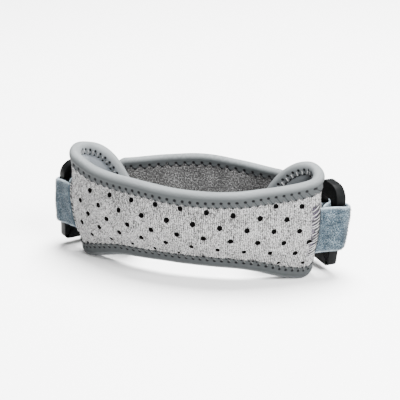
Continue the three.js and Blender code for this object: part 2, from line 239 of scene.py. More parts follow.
FRONT = Pad(
    start=(0, -32.5),
    outward=-1,
    arcs=[Arc(72.6, 130, 130), Arc(18, 7, 7), Arc(30.5, 85, 400)],
    edges=[
        Edge(-90.6, 67.8, 3.5),
        Edge(-81.6, 68.2, 1.2),
        Edge(-72.6, 64.7, -0.6),
        Edge(-59, 60.9, 2.7),
        Edge(-45, 59.5, 6.1),
        Edge(-30, 59, 7.2),
        Edge(0, 56.7, 7.4),
        Edge(30, 56.8, 6.6),
        Edge(45, 58.5, 4.7),
        Edge(59, 59.9, 1.4),
        Edge(72.6, 61.9, -0.6),
        Edge(81.6, 65.2, 1.2),
        Edge(90.6, 67.9, 3.5),
    ],
    outer_crown=5,
    inner_crown=1.5,
    crown_reach=95,
    tip_drop=10,
    taper_share=0.062,
    taper_centre_y=7.5,
    tuck_inward=8,
)

BACK = Pad(
    start=(-4.5, 33.5),
    outward=1,
    arcs=[Arc(48, -146, -146), Arc(12, -146, -146)],
    edges=[
        Edge(-48, 50.8, -0.6),
        Edge(-22, 52.9, -0.6),
        Edge(0, 54.5, -0.6),
        Edge(22, 53, -0.6),
        Edge(48, 51.4, -0.6),
    ],
    outer_crown=2,
    inner_crown=1.5,
    crown_reach=46,
    turn=1.5 * DEG,
)

SIDES = [
    Side("left", -1, -1 * DEG, ring_out=1.4, ring_z=28.6, loop_radius=5.8, loop_out=0, seam_reach=2.2),
    Side("right", 1, 6 * DEG, ring_out=0, ring_z=29.8, loop_radius=6.4, loop_out=0.7, seam_reach=5.4),
]


# Meshes from arrays of points in millimetres


def grid_faces(rows, columns, closed_rows=False, closed_columns=False):
    """Quads of a grid whose points are numbered row by row, closed into a ring either way if asked."""
    r, c = np.meshgrid(
        np.arange(rows if closed_rows else rows - 1),
        np.arange(columns if closed_columns else columns - 1),
        indexing="ij",
    )
    down, along = (r + 1) % rows, (c + 1) % columns
    corners = [r * columns + c, down * columns + c, down * columns + along, r * columns + along]
    return np.stack(corners, -1).reshape(-1, 4)


def cap_faces(first, size):
    """Quads that close a flat ring of points numbered from first, whose two halves face each other."""
    k = np.arange(size // 2 - 1)
    pair = size - 1 - k
    return first + np.stack([k, k + 1, pair - 1, pair], -1)


def capped_faces(rings, size):
    """Quads of a closed body made of rings of points, with a cap at either end."""
    walls = grid_faces(rings, size, closed_columns=True)
    return np.concatenate([walls, cap_faces(0, size), cap_faces((rings - 1) * size, size)])


def repeated(faces, count, points):
    """The faces of one small body, repeated for a row of bodies with so many points each."""
    return (faces[None] + (np.arange(count) * points)[:, None, None]).reshape(-1, faces.shape[1])


def mesh_piece(name, points, faces, finishes, pattern=None, marks=None, outside=True):
    """A piece from points and faces, with a pattern map and named marks at its points."""
    mesh = bpy.data.meshes.new(name)
    mesh.from_pydata((np.asarray(points).reshape(-1, 3) * MM).tolist(), [], np.asarray(faces).tolist())
    corner = np.zeros(len(mesh.loops), np.int32)
    mesh.loops.foreach_get("vertex_index", corner)
    if pattern is not None:
        layer = mesh.uv_layers.new(name="pattern")
        layer.data.foreach_set("uv", np.asarray(pattern, np.float32).reshape(-1, 2)[corner].ravel())
    for mark, values in (marks or {}).items():
        attribute = mesh.attributes.new(mark, "FLOAT", "POINT")
        attribute.data.foreach_set("value", np.asarray(values, np.float32).ravel())
    mesh.polygons.foreach_set("use_smooth", np.ones(len(mesh.polygons), bool))
    for finish in finishes:
        mesh.materials.append(finish)
    if outside:
        turn_outside(mesh)
    piece = bpy.data.objects.new(name, mesh)
    bpy.context.scene.collection.objects.link(piece)
    return piece


def turn_outside(mesh):
    """Turns the faces of closed bodies so that they point outwards."""
    work = bmesh.new()
    work.from_mesh(mesh)
    bmesh.ops.recalc_face_normals(work, faces=work.faces)
    work.to_mesh(mesh)
    work.free()


def share_finishes(piece, number):
    """Gives each face of a piece the finish of its number."""
    piece.data.polygons.foreach_set("material_index", number.astype(np.int32))


def place_piece(piece, slot, *nodes):
    """Puts a piece on the brace's one body, instead of the solids it stands for. The slot is not used."""
    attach(piece, "root")
    if nodes:
        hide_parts(*nodes)


def apply_modifier(piece, kind, **settings):
    bpy.ops.object.select_all(action="DESELECT")
    bpy.context.view_layer.objects.active = piece
    piece.select_set(True)
    modifier = piece.modifiers.new(kind.title(), kind)
    for name, value in settings.items():
        setattr(modifier, name, value)
    bpy.ops.object.modifier_apply(modifier=modifier.name)


WAVES_PER_SIZE = 3
THREAD_SIDES = 6
OUT_PROBE = 0.2


def uneven(s, z, waves):
    """Slow, smooth unevenness over a pattern, as a sum of waves of the given sizes."""
    chance = np.random.default_rng(waves.seed)
    total = np.zeros(np.broadcast(s, z).shape)
    for size in np.repeat(waves.sizes, WAVES_PER_SIZE):
        angle, phase = chance.uniform(0, TURN, 2)
        reach = (s * math.cos(angle) + z * math.sin(angle)) / size
        total = total + np.sin(TURN * reach + phase)
    return waves.high * (total / (WAVES_PER_SIZE * len(waves.sizes)) ** 0.5)


def spokes(across, up, count):
    """Directions spread evenly round a thread."""
    angle = np.linspace(0, TURN, count, endpoint=False)[:, None]
    return np.cos(angle) * across[..., None, :] + np.sin(angle) * up[..., None, :]


def tubes(paths, outs, radius):
    """Points and faces of short threads along rows of points, with an outward direction at each."""
    count, steps, _ = paths.shape
    run = unit(np.gradient(paths, axis=1))
    across = unit(np.cross(run, outs))
    rings = paths[:, :, None] + radius * spokes(across, np.cross(across, run), THREAD_SIDES)
    faces = repeated(capped_faces(steps, THREAD_SIDES), count, steps * THREAD_SIDES)
    return rings.reshape(-1, 3), faces


def threads_on(pad, s, z, lift, radius, face=1):
    """Threads along rows of places on a pad's outer face, or on its inner one."""
    path = pad.bend(s, z, face * lift)
    out = unit(pad.bend(s, z, face * (lift + OUT_PROBE)) - path)
    return tubes(path, out, radius)


# Finishes: node trees with arithmetic written as expressions


class Wire:
    """An output socket of a finish. Arithmetic on it adds Math nodes."""

    def __init__(self, finish, socket):
        self.finish = finish
        self.socket = socket

    def __add__(self, other):
        return self.finish.maths("ADD", self, other)

    __radd__ = __add__

    def __sub__(self, other):
        return self.finish.maths("SUBTRACT", self, other)

    def __rsub__(self, other):
        return self.finish.maths("SUBTRACT", other, self)

    def __mul__(self, other):
        return self.finish.maths("MULTIPLY", self, other)

    __rmul__ = __mul__

    def __truediv__(self, other):
        return self.finish.maths("DIVIDE", self, other)


class Finish:
    """A material whose nodes all come from one method."""

    def __init__(self, name):
        self.material = bpy.data.materials.new(name)
        self.material.use_nodes = True
        self.tree = self.material.node_tree
        self.tree.nodes.clear()

    def node(self, kind, settings=None, sockets=None, output=0):
        node = self.tree.nodes.new("ShaderNode" + kind)
        for name, value in (settings or {}).items():
            if name == "stops":
                self.set_stops(node.color_ramp, value)
            else:
                setattr(node, name, value)
        for name, value in (sockets or {}).items():
            if isinstance(value, Wire):
                self.tree.links.new(value.socket, node.inputs[name])
            else:
                node.inputs[name].default_value = value
        return Wire(self, node.outputs[output]) if node.outputs else None

    @staticmethod
    def set_stops(ramp, stops):
        while len(ramp.elements) < len(stops):
            ramp.elements.new(1)
        for element, (place, colour) in zip(ramp.elements, stops):
            element.position = place
            element.color = (*colour, 1)

    def maths(self, operation, first, second=0.0):
        return self.node("Math", {"operation": operation}, {0: first, 1: second})

    def sine(self, value):
        return self.maths("SINE", value)

    def size_of(self, value):
        return self.maths("ABSOLUTE", value)

    def part_of_one(self, value):
        return self.maths("FRACT", value)

    def step(self, value, low, high):
        settings = {"interpolation_type": "SMOOTHSTEP"}
        return self.node("MapRange", settings, {"Value": value, "From Min": low, "From Max": high})

    def pattern(self):
        """The piece's own pattern map, in millimetres."""
        return self.node("UVMap", {"uv_map": "pattern"})

    def distance(self, place, axis):
        """Distance of a place on the pattern map, along it or up it."""
        return self.node("SeparateXYZ", None, {0: place}, axis)

    def object_place(self):
        return self.node("TexCoord", output=3)

    def mark(self, name):
        return self.node("Attribute", {"attribute_name": name}, output=2)

    def stretched(self, place, scale):
        return self.node("Mapping", None, {"Vector": place, "Scale": scale})

    def noise(self, place, scale, detail=2.0, roughness=0.5):
        sockets = {"Vector": place, "Scale": scale, "Detail": detail, "Roughness": roughness}
        return self.node("TexNoise", None, sockets)

    def tone_of_cell(self, across, up):
        """A chance value from nought to one for each whole cell of two counts."""
        column, row = self.maths("FLOOR", across), self.maths("FLOOR", up)
        cell = self.node("CombineXYZ", None, {0: column, 1: row})
        return self.node("TexWhiteNoise", {"noise_dimensions": "2D"}, {"Vector": cell})

    def shades(self, value, stops):
        return self.node("ValToRGB", {"stops": stops}, {"Fac": value})

    def blend(self, share, colour, shade):
        """A colour with a share of one even shade mixed in."""
        return self.node("Mix", {"data_type": "RGBA"}, {0: share, 6: colour, 7: (*shade, 1)}, output=2)

    def bump(self, height, distance, strength=1.0):
        sockets = {"Height": height, "Distance": distance, "Strength": strength}
        return self.node("Bump", None, sockets)

    def surface(self, **sockets):
        """Ends the finish with its shader. Socket names have underscores for spaces."""
        named = {name.replace("_", " "): value for name, value in sockets.items()}
        shader = self.node("BsdfPrincipled", None, named)
        self.node("OutputMaterial", None, {"Surface": shader})
        return self.material


def grey(level, warm=0.0):
    """A grey of a given brightness, a little warm or cool."""
    return (level * (1 + warm), level, level * (1 - warm))


WALE_PITCH, COURSE_PITCH = 1.05, 1.0
KNIT_WANDER, KNIT_CHEVRON = 0.9, 1.1
KNIT_SHADES = [(0.3, grey(0.015, 0.012)), (0.48, grey(0.12, 0.01)), (0.68, grey(0.32, 0.008))]
# Painted shade on the facing beside the right strap's seam
SEAM_PAINTED_SHADE = (0.035, 0.029, 0.045)
TAPE_RIB_PITCH = 0.55
TAPE_SHADES = [(0.3, (0.082, 0.088, 0.09)), (0.7, (0.118, 0.126, 0.129))]
# Painted shade on the tape's lower roll and flange, where the roll hides them from the light above
FLANGE_PAINTED_SHADE = (0.034, 0.037, 0.038)
# Painted light on the front tongues' inner flanges
INNER_PAINTED_LIGHT = (0.15, 0.16, 0.167)
NEEDLE_FROM, NEEDLE_FULL = 0.12, 0.45
# Dark needle holes, and painted shade along the creases and the right tongue's raw edge
HOLE_AND_PAINTED_SHADOW = (0.002, 0.002, 0.0025)
FRONT_LINING = [(0.25, (0.19, 0.207, 0.225)), (0.75, (0.32, 0.342, 0.365))]
BACK_LINING = [(0.3, grey(0.004, 0.012)), (0.5, grey(0.04, 0.012)), (0.7, grey(0.22, 0.01))]
# Painted shade on the front lining towards the right tongue, and where along it it sets in and is full
RIGHT_PAINTED_SHADE = (0.05, 0.054, 0.056)
RIGHT_SHADE_FROM, RIGHT_SHADE_FULL = 30, 75
FOAM_SHADES = [(0.3, grey(0.001)), (0.8, grey(0.004))]
PILE_SHADES = [(0.2, (0.006, 0.011, 0.016)), (0.5, (0.031, 0.047, 0.061)), (0.85, (0.2, 0.25, 0.28))]
# Painted rim light along the straps' edges
PILE_PAINTED_RIM_LIGHT = (0.3, 0.36, 0.4)
RING_SHADES = [(0.35, (0.0012, 0.0014, 0.0015)), (0.75, (0.003, 0.0034, 0.0036))]
FLOOR_SHADES = [(0.3, grey(0.76)), (0.7, grey(0.79))]
THREADS = (("pale_thread", 0.3), ("soft_thread", 0.07), ("dark_thread", 0.03))


def knit_finish():
    """Speckled melange knit: rounded wales of small chevron loops, with painted shade beside the right
    seam.
    """
    f = Finish("speckled_knit")
    place = f.pattern()
    wander = f.noise(f.stretched(place, (0.35, 0.12, 1)), 1.0) - 0.5
    across = f.distance(place, 0) / WALE_PITCH + wander * KNIT_WANDER
    wale = f.part_of_one(across) - 0.5
    rib = 1 - f.size_of(wale) * 2
    up = f.distance(place, 1) / COURSE_PITCH + f.size_of(wale) * KNIT_CHEVRON
    course = f.sine(up * TURN) * 0.5 + 0.5
    loops = f.step(rib, 0.05, 0.75) * (0.6 + course * 0.4)
    fibres = f.noise(f.stretched(place, (2.3, 1.3, 1)), 1.0, detail=4, roughness=0.7)
    yarn = f.tone_of_cell(across * 2, up * 2)
    clouds = f.noise(place, 0.09)
    shade = fibres * 0.5 + yarn * 0.36 + loops * 0.2 + clouds * 0.12 - 0.1
    colour = f.shades(shade, KNIT_SHADES)
    return f.surface(
        # Painted shade on the facing beside the right seam
        Base_Color=f.blend(f.mark("seam") * 0.95, colour, SEAM_PAINTED_SHADE),
        Roughness=0.92,
        Normal=f.bump(loops * 0.7 + fibres * 0.6, distance=0.35 * MM, strength=0.8),
        Sheen_Weight=0.05,
        Sheen_Roughness=0.5,
        Specular_IOR_Level=0.05,
    )


def tape_finish():
    """Satin stretch tape: fine cross ribs, painted shade on its lower roll and flanges, painted light on
    the tongues' inner flanges, dark needle holes and painted shade along the creases.
    """
    f = Finish("satin_tape")
    place = f.pattern()
    ribs = f.sine(f.distance(place, 0) * (TURN / TAPE_RIB_PITCH))
    clouds = f.noise(f.stretched(place, (0.05, 0.4, 1)), 1.0, detail=3)
    colour = f.shades(clouds + ribs * 0.03, TAPE_SHADES)
    # Painted shade on the lower roll and the flanges
    colour = f.blend(f.mark("flange"), colour, FLANGE_PAINTED_SHADE)
    # Painted light on the tongues' inner flanges
    colour = f.blend(f.mark("inner"), colour, INNER_PAINTED_LIGHT)
    # Dark needle holes, with painted shade along the creases and the right tongue's raw edge
    colour = f.blend(f.step(f.mark("needle"), NEEDLE_FROM, NEEDLE_FULL), colour, HOLE_AND_PAINTED_SHADOW)
    return f.surface(
        Base_Color=colour,
        Roughness=0.5 + clouds * 0.15,
        Normal=f.bump(ribs * 0.3 + clouds, distance=0.05 * MM, strength=0.5),
        Specular_IOR_Level=0.04,
    )


def lining_finish(name, stops, speckle, right_shade_share):
    """Brushed lining: short fibres laid all ways, mottled, with painted shade darkening it towards the
    right.
    """
    f = Finish(name)
    place = f.pattern()
    nap = f.noise(place, 1.1, detail=4, roughness=0.75)
    clouds = f.noise(place, 0.07)
    colour = f.shades(nap * speckle + clouds * 0.2 + (0.4 - speckle / 2), stops)
    # Painted shade that darkens the lining towards the right
    right_shade = f.step(f.distance(place, 0), RIGHT_SHADE_FROM, RIGHT_SHADE_FULL) * right_shade_share
    return f.surface(
        Base_Color=f.blend(right_shade, colour, RIGHT_PAINTED_SHADE),
        Roughness=0.95,
        Normal=f.bump(nap, distance=0.3 * MM, strength=0.7),
        Sheen_Weight=0.03,
        Specular_IOR_Level=0.05,
    )


def foam_finish():
    """Dark closed-cell foam, seen only down the punched holes."""
    f = Finish("dark_foam")
    colour = f.shades(f.noise(f.object_place(), 2500), FOAM_SHADES)
    return f.surface(Base_Color=colour, Roughness=0.95, Specular_IOR_Level=0.02)


def thread_finish(name, level):
    """Twisted sewing thread of a given brightness."""
    f = Finish(name)
    fuzz = f.noise(f.object_place(), 1800, detail=3)
    return f.surface(
        Base_Color=f.shades(fuzz, [(0.3, grey(level * 0.6, -0.01)), (0.75, grey(level * 1.4))]),
        Roughness=0.8,
        Normal=f.bump(fuzz, distance=0.1 * MM),
        Specular_IOR_Level=0.1,
    )


def pile_finish():
    """Brushed loop pile: mottled steel blue, with painted rim light along the strap's edges."""
    f = Finish("loop_pile")
    place = f.pattern()
    tufts = f.noise(place, 1.1, detail=4, roughness=0.75)
    clouds = f.noise(place, 0.14)
    colour = f.shades(tufts * 2.2 + clouds * 0.7 - 1.0, PILE_SHADES)
    return f.surface(
        # Painted rim light along the strap's edges
        Base_Color=f.blend(f.mark("rim"), colour, PILE_PAINTED_RIM_LIGHT),
        Roughness=0.95,
        Normal=f.bump(tufts, distance=0.6 * MM, strength=0.9),
        Sheen_Weight=0.2,
        Sheen_Roughness=0.3,
        Specular_IOR_Level=0.05,
    )


def fibre_finish():
    """Single fibres of the pile, each with a tone of its own, with painted shade at its root and painted
    light at its tip.
    """
    f = Finish("pile_fibres")
    colour = f.shades(f.mark("shade"), PILE_SHADES)
    return f.surface(Base_Color=colour, Roughness=0.9, Sheen_Weight=0.2, Specular_IOR_Level=0.05)


def ring_finish():
    """Matte black moulding with a fine grain, rubbed a little in places."""
    f = Finish("moulded_black")
    place = f.object_place()
    grain = f.noise(place, 900, detail=3)
    rub = f.noise(place, 140, detail=3)
    return f.surface(
        Base_Color=f.shades(rub, RING_SHADES),
        Roughness=0.4 + rub * 0.2,
        Normal=f.bump(grain, distance=0.03 * MM, strength=0.5),
        Specular_IOR_Level=0.04,
    )


def floor_finish():
    f = Finish("pale_floor")
    return f.surface(Base_Color=f.shades(f.noise(f.object_place(), 3), FLOOR_SHADES), Roughness=0.9)


# The two pads


# Radius of the solid's holes, and the wider one cut here, which closes in the lowest rows
HOLE_RADIUS, HOLE_CUT = 1.2, 1.5
HOLE_CLOSING, HOLE_FULL_FROM, HOLE_CLOSING_REACH = 0.6, 19, 9
HOLE_PITCH, HOLE_ROW_PITCH = 14.85, 7.12
HOLE_STAGGER = (6.4, -1.8)
HOLE_FIRST_ROW, HOLE_ROWS = 10.2, 7
HOLE_TOP_ROW_FROM = 30
HOLE_MIDDLE_ROW, HOLE_LEAN = 3, 0.069
HOLE_SLOPE, HOLE_BOW, HOLE_TWIST = -0.063, -0.00066, 0.0000055
HOLE_REACH, HOLE_UNDER_TAPE = 92, 0.8
SEAM_AT, SEAM_CLEAR, SEAM_OVERRUN = 77.6, 4.5, 2
STRAP_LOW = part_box("left_ring_strap")[0].z / MM
STRAP_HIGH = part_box("left_ring_strap")[1].z / MM
STRAP_MIDDLE = (STRAP_LOW + STRAP_HIGH) / 2
FACING_STEP, FACING_ROWS = 0.75, 84
RIM_PULL, ON_RIM = 0.55, 1e-4
PUFF_HIGH, PUFF_AT, PUFF_REACH, PUFF_BY_STITCH = 0.35, 1.5, 2.2, 0.35
DIP_DEEP, DIP_REACH = 0.3, 2.3
SMOOTH_TO, SMOOTH_FADE = 8, 8
# Where the painted shade beside the right seam lies
SEAM_DARK_IN, SEAM_DARK_REACH, SEAM_DARK_PAST = 2.2, 2.4, 0.5
FACING_CLEAR = 0.15
BODY_STEP, BODY_ROWS = 1.0, 56
WRINKLE_AT, WRINKLE_REACH, WRINKLE_HIGH, WRINKLE_PITCH = 81.6, 7, 0.22, 3.1
WRINKLE_SWAY, WRINKLE_SWAY_SIZE = 0.5, 9
FACING_WAVES = Waves(0.22, (38, 17), 3)
FRONT_LINING_WAVES = Waves(0.18, (30, 14), 5)
BACK_OUTER_WAVES = Waves(0.18, (28, 12), 8)
BACK_INNER_WAVES = Waves(-0.2, (26, 12), 9)


def hole_places():
    """Places of the punched holes on the flat pattern, in staggered rows that fall to the right."""
    count = math.ceil(HOLE_REACH / HOLE_PITCH)
    row, column = np.meshgrid(np.arange(HOLE_ROWS), np.arange(-count, count + 1), indexing="ij")
    in_row = np.array(HOLE_STAGGER)[row % 2] + column * HOLE_PITCH
    drift = in_row * (HOLE_SLOPE + in_row * (HOLE_BOW + in_row * HOLE_TWIST))
    s = in_row + HOLE_LEAN * (row - HOLE_MIDDLE_ROW) * HOLE_ROW_PITCH
    z = HOLE_FIRST_ROW + row * HOLE_ROW_PITCH + drift
    middle, half = FRONT.heights(s + np.sign(s) * HOLE_RADIUS)
    room = half - np.abs(z - middle) - TAPE_DEPTH + HOLE_UNDER_TAPE
    near_seam = np.abs(np.abs(s) - SEAM_AT) < SEAM_CLEAR
    beside_strap = np.abs(z - STRAP_MIDDLE) < (STRAP_HIGH - STRAP_LOW) / 2 + SEAM_OVERRUN
    in_sight = (row < HOLE_ROWS - 1) | (s > HOLE_TOP_ROW_FROM)
    kept = (np.abs(s) < HOLE_REACH) & (room > 0) & in_sight & ~(near_seam & beside_strap)
    return np.stack([s[kept], z[kept]], -1)


HOLES = hole_places()


def near_holes(s, z, reach):
    """How near places are to a hole: one in its middle, fading out over the reach."""
    near = np.zeros(s.shape)
    for hole_s, hole_z in HOLES:
        near = np.maximum(near, np.exp(-((s - hole_s) ** 2 + (z - hole_z) ** 2) / reach**2))
    return near


def facing_offset(s, z):
    """Outer face of the facing: crowned, drawn in at the holes, and puffed up beside the stitching."""
    depth = FRONT.depth(s, z)
    beside = np.exp(-(((depth - TAPE_DEPTH - PUFF_AT) / PUFF_REACH) ** 2))
    puff = PUFF_HIGH * beside * (1 + PUFF_BY_STITCH * np.cos(TURN * s / FRONT_TRIM.pitch))
    dip = DIP_DEEP * near_holes(s, z, DIP_REACH)
    clear_of_tape = np.clip((depth - SMOOTH_TO) / SMOOTH_FADE, 0, 1)
    return FRONT.outer(s, z) + puff - dip + uneven(s, z, FACING_WAVES) * clear_of_tape


def cut_radii():
    """Radius cut for each hole. The lowest rows close up."""
    middle, half = FRONT.heights(HOLES[:, 0])
    above_foot = HOLES[:, 1] - middle + half
    return HOLE_CUT - HOLE_CLOSING * np.clip((HOLE_FULL_FROM - above_foot) / HOLE_CLOSING_REACH, 0, 1)


def beside_seam(s, z):
    """One where painted shade goes on the facing under the right strap's seam, and nought elsewhere."""
    band = np.exp(-(((np.abs(s) - SEAM_AT + SEAM_DARK_IN) / SEAM_DARK_REACH) ** 4))
    return band * ((z > SEAM_LOW) & (z < SEAM_HIGH + SEAM_DARK_PAST) & (s > 0))


def make_facing(finish, foam):
    """The knit facing: a sheet with its holes cut out, given its thickness."""
    s, z = FRONT.grid(FACING_STEP, FACING_ROWS)
    length = 2 * s[-1, 0] * MM
    area = np.trapz(z[:, -1] - z[:, 0], s[:, 0]) * MM * MM
    gone = np.zeros(s.shape, bool)
    for (hole_s, hole_z), cut in zip(HOLES, cut_radii()):
        away = np.hypot(s - hole_s, z - hole_z)
        on_rim = np.abs(away - cut) < RIM_PULL
        pull = np.where(on_rim, cut / np.maximum(away, TINY), 1)
        s = hole_s + (s - hole_s) * pull
        z = hole_z + (z - hole_z) * pull
        gone |= np.hypot(s - hole_s, z - hole_z) < cut + ON_RIM
    faces = grid_faces(*s.shape)
    faces = faces[~gone.ravel()[faces].all(1)]
    used, number = np.unique(faces, return_inverse=True)
    points = FRONT.bend(s, z, facing_offset(s, z)).reshape(-1, 3)[used]
    pattern = np.stack([s, z], -1).reshape(-1, 2)[used]
    # The seam mark carries painted shade
    marks = {"seam": beside_seam(s, z).ravel()[used]}
    faces = number.reshape(faces.shape)
    piece = mesh_piece("perforated_facing", points, faces, [finish, foam], pattern, marks, outside=False)
    apply_modifier(piece, "SOLIDIFY", thickness=FACING_THICK * MM, offset=-1, material_offset_rim=1)
    turn_outside(piece.data)
    place_piece(piece, "facing", "front_facing")


def make_layer(name, pad, outer, inner, finishes):
    """A closed padded layer between two faces. The first finish is on the inner face."""
    s, z = pad.grid(BODY_STEP, BODY_ROWS)
    points = np.concatenate([pad.bend(s, z, outer(s, z)), pad.bend(s, z, inner(s, z))[:, ::-1]], 1)
    count, size = points.shape[:2]
    faces = capped_faces(count, size)
    pattern = np.stack([np.concatenate([s, s], 1), np.concatenate([z, z[:, ::-1]], 1)], -1)
    piece = mesh_piece(name, points, faces, finishes, pattern)
    if len(finishes) > 1:
        on_outer = faces[:, 0] % size < BODY_ROWS - 1
        on_outer[(count - 1) * size :] = False
        share_finishes(piece, on_outer)
    return piece


def make_front_body(lining, foam):
    """The front pad's foam body with its smooth lining, wrinkled inside the bends."""

    def outer(s, z):
        return facing_offset(s, z) - FACING_THICK - FACING_CLEAR

    def inner(s, z):
        in_bend = np.exp(-(((np.abs(s) - WRINKLE_AT) / WRINKLE_REACH) ** 2))
        sway = WRINKLE_SWAY * np.sin(z / WRINKLE_SWAY_SIZE)
        wrinkles = WRINKLE_HIGH * in_bend * np.sin(TURN * (s / WRINKLE_PITCH + sway))
        return FRONT.inner(s, z) + wrinkles + uneven(s, z, FRONT_LINING_WAVES)

    piece = make_layer("foam_body", FRONT, outer, inner, [lining, foam])
    place_piece(piece, "lining", "front_core")


def make_back_body(lining):
    """The back band's padded body."""

    def outer(s, z):
        return BACK.outer(s, z) + uneven(s, z, BACK_OUTER_WAVES)

    def inner(s, z):
        return BACK.inner(s, z) + uneven(s, z, BACK_INNER_WAVES)

    piece = make_layer("back_band", BACK, outer, inner, [lining])
    place_piece(piece, "lining", "back_pad")


# Edge tape and its stitching


ROLL_RADIUS = 3.4
NECK_ANGLE = 126 * DEG
FLANGE_UNDER = 2.0
TAPE_CREST = 1.9
OUTER_HEM = Hem(
    6.2, 8.7, 0.42, 8.3, 9.3, leg=((-0.17, 7.2), (0.06, 8.4)), thread=0.25, low_dot=0.5, crease=0.3
)
TONGUE_HEM = Hem(
    3.7, 6.9, 0.12, 6.9, 7.4, leg=((0.42, 4.3), (0.6, 6.6)), thread=0.3, low_dot=1, crease=0.22
)
BACK_HEM = Hem(
    5.0, 7.4, 0.45, 5.7, 7.8, leg=((0.55, 7.0), (0.88, 5.5)), thread=0.28, low_dot=1, crease=0.5
)
FRONT_TRIM = Trim(
    ROLL_RADIUS, 2.55, 4.25, OUTER_HEM, TONGUE_HEM, pale_inside=1, shade_from=0.9, shade_to=3.5
)
BACK_TRIM = Trim(2.9, 2.3, 5.5, BACK_HEM, BACK_HEM, pale_inside=0, shade_from=0.8, shade_to=3)
STATIONS_PER_STITCH = 10
ROLL_STEPS, FLANGE_STEPS = 16, 10
PUCKER, PUCKER_FROM, PUCKER_FADE = 0.1, 3, 3
FLANGE_EASE = 3
HOLE_PRESS = 0.25
TOOTH_CURVE = 1.4
DOT_RADIUS, CREASE_RADIUS = 0.76, 0.42
HEM_CLIMB, CLIMB_FROM, CLIMB_TO = 1.6, 10, 52
CLIMB_CREASE, CLIMB_LAG = 0.06, 0.14
FOOT_CLIMB = -0.2
# Reach of the painted shadow along the right tongue's raw edge
RAW_SHADOW = 0.6
# Share of the painted light that the right tongue's inner flange gets
RIGHT_PAINTED_LIGHT_SHARE = 0.25
TAPE_WAVES = Waves(0.13, (45, 19), 4)
LEG_STEPS, PLACES_PER_STITCH = 7, 40
LEG_SINK, LEG_BOW, LEG_BOW_CURVE = 0.2, 0.35, 0.6


def tape_edge(phase, hem):
    """Depth of the tape's raw edge, which the stitching draws into slanted teeth."""
    falling = np.clip(phase / hem.lag, 0, 1)
    rising = np.clip((1 - phase) / (1 - hem.lag), 0, 1)
    tooth = np.where(phase < hem.lag, falling, rising**TOOTH_CURVE)
    return hem.notch + (hem.depth - hem.notch) * tooth


def climbing_hem(hem, climb):
    """The hem with its upper needle holes nearer to the roll, and longer, stronger creases."""
    return hem._replace(
        upper=hem.upper - HEM_CLIMB * climb,
        lag=hem.lag + CLIMB_LAG * climb,
        crease=hem.crease + CLIMB_CREASE * climb,
    )


def needle_holes(phase, depth, hem, pitch):
    """How near places are to a needle hole, or to the crease drawn in between two of them, whose darkness
    is painted shade.
    """
    near = np.zeros(np.broadcast(phase, depth).shape)
    for at, row, share in ((0, hem.upper, 1), (hem.lag, hem.lower, hem.low_dot)):
        along = (np.mod(phase - at + 0.5, 1) - 0.5) * pitch
        near = np.maximum(near, share * np.exp(-(along**2 + (depth - row) ** 2) / DOT_RADIUS**2))
    down = np.clip((depth - hem.upper) / (hem.lower - hem.upper), 0, 1)
    aside = (np.mod(phase - hem.lag * down + 0.5, 1) - 0.5) * pitch
    past = depth - hem.upper - down * (hem.lower - hem.upper)
    return np.maximum(near, hem.crease * np.exp(-(aside**2 + past**2) / CREASE_RADIUS**2))


def tape_half(trim, hem, phase, raw):
    """One half of the tape's section at every station, crest to raw edge and back beneath."""
    angles = np.linspace(0, NECK_ANGLE, ROLL_STEPS)
    roll_depth = trim.roll * (1 - np.cos(angles)) + 0 * phase
    pucker = PUCKER * (1 + np.cos(TURN * phase)) * np.clip((roll_depth - PUCKER_FROM) / PUCKER_FADE, 0, 1)
    roll_offset = trim.roll * np.sin(angles) - pucker
    down = np.linspace(0, 1, FLANGE_STEPS)[1:]
    neck_depth, neck_offset = roll_depth[:, -1:], trim.roll * math.sin(NECK_ANGLE)
    flange_depth = neck_depth + (raw - neck_depth) * down
    flange_rise = (trim.flange - neck_offset) * np.minimum(1, down * FLANGE_EASE)
    depth = np.concatenate([roll_depth, flange_depth], 1)
    holes = needle_holes(phase, depth, hem, trim.pitch)
    offset = np.concatenate([roll_offset, neck_offset + flange_rise + 0 * phase], 1) - HOLE_PRESS * holes
    # Painted shade: the tape darkens from part way down its roll to its flange
    flange = np.clip((depth - trim.shade_from) / (trim.shade_to - trim.shade_from), 0, 1)
    return (
        np.concatenate([offset, np.full((len(raw), 2), FLANGE_UNDER)], 1),
        np.concatenate([depth, raw, np.full_like(raw, TAPE_CREST)], 1),
        np.concatenate([holes, np.zeros((len(raw), 2))], 1),
        np.concatenate([flange, np.ones((len(raw), 2))], 1),
    )


